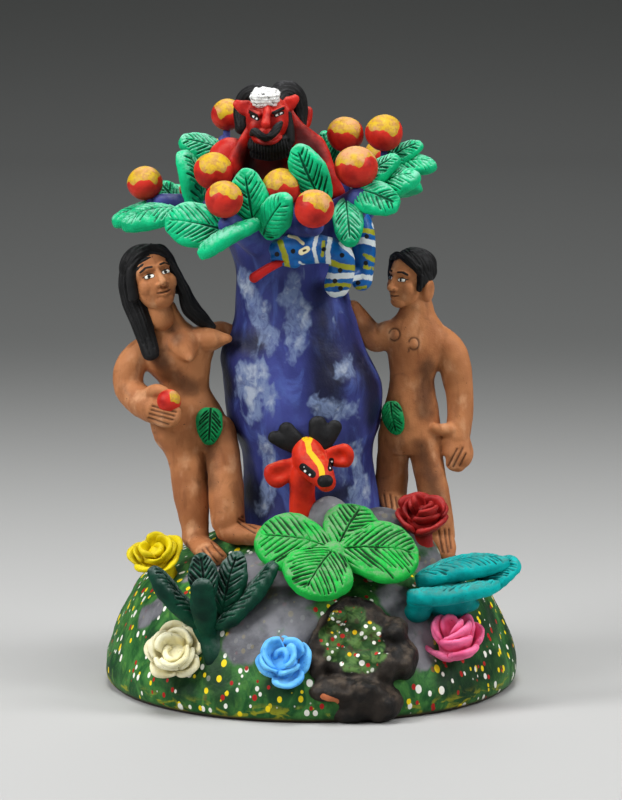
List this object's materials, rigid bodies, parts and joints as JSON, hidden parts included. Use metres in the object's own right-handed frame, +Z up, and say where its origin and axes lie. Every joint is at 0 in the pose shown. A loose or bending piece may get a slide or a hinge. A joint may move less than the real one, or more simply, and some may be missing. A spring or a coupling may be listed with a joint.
{
  "type": "clay folk figure group",
  "caption": "Painted clay folk group: woman and man beside a leafy tree on a round mound, with a horned figure, a serpent, a deer, apples, leaves and flowers",
  "frame": {"origin": "middle of the mound's flat underside", "axes": "+Z up, -Y towards the viewer's side with the figures' fronts, +X to the viewer's right"},
  "size_m": [0.2066, 0.2099, 0.3021],
  "materials": {
    "painted_clay": "matt paint on low-fired clay",
    "bare_clay": "burnished terracotta, unpainted",
    "tree_paint": "matt violet-blue with brushed pale clouds",
    "leaf_paint": "satin emerald, dusty on top",
    "apple_paint": "satin red with yellow caps",
    "red_paint": "satin red",
    "black_paint": "satin black",
    "serpent_paint": "satin blue with white rings and olive bars",
    "flower_paint": "satin bright colours",
    "rock_paint": "matt brown-black"
  },
  "bodies": {
    "root": {"clay_group": "painted_clay"}
  },
  "joints": []
}
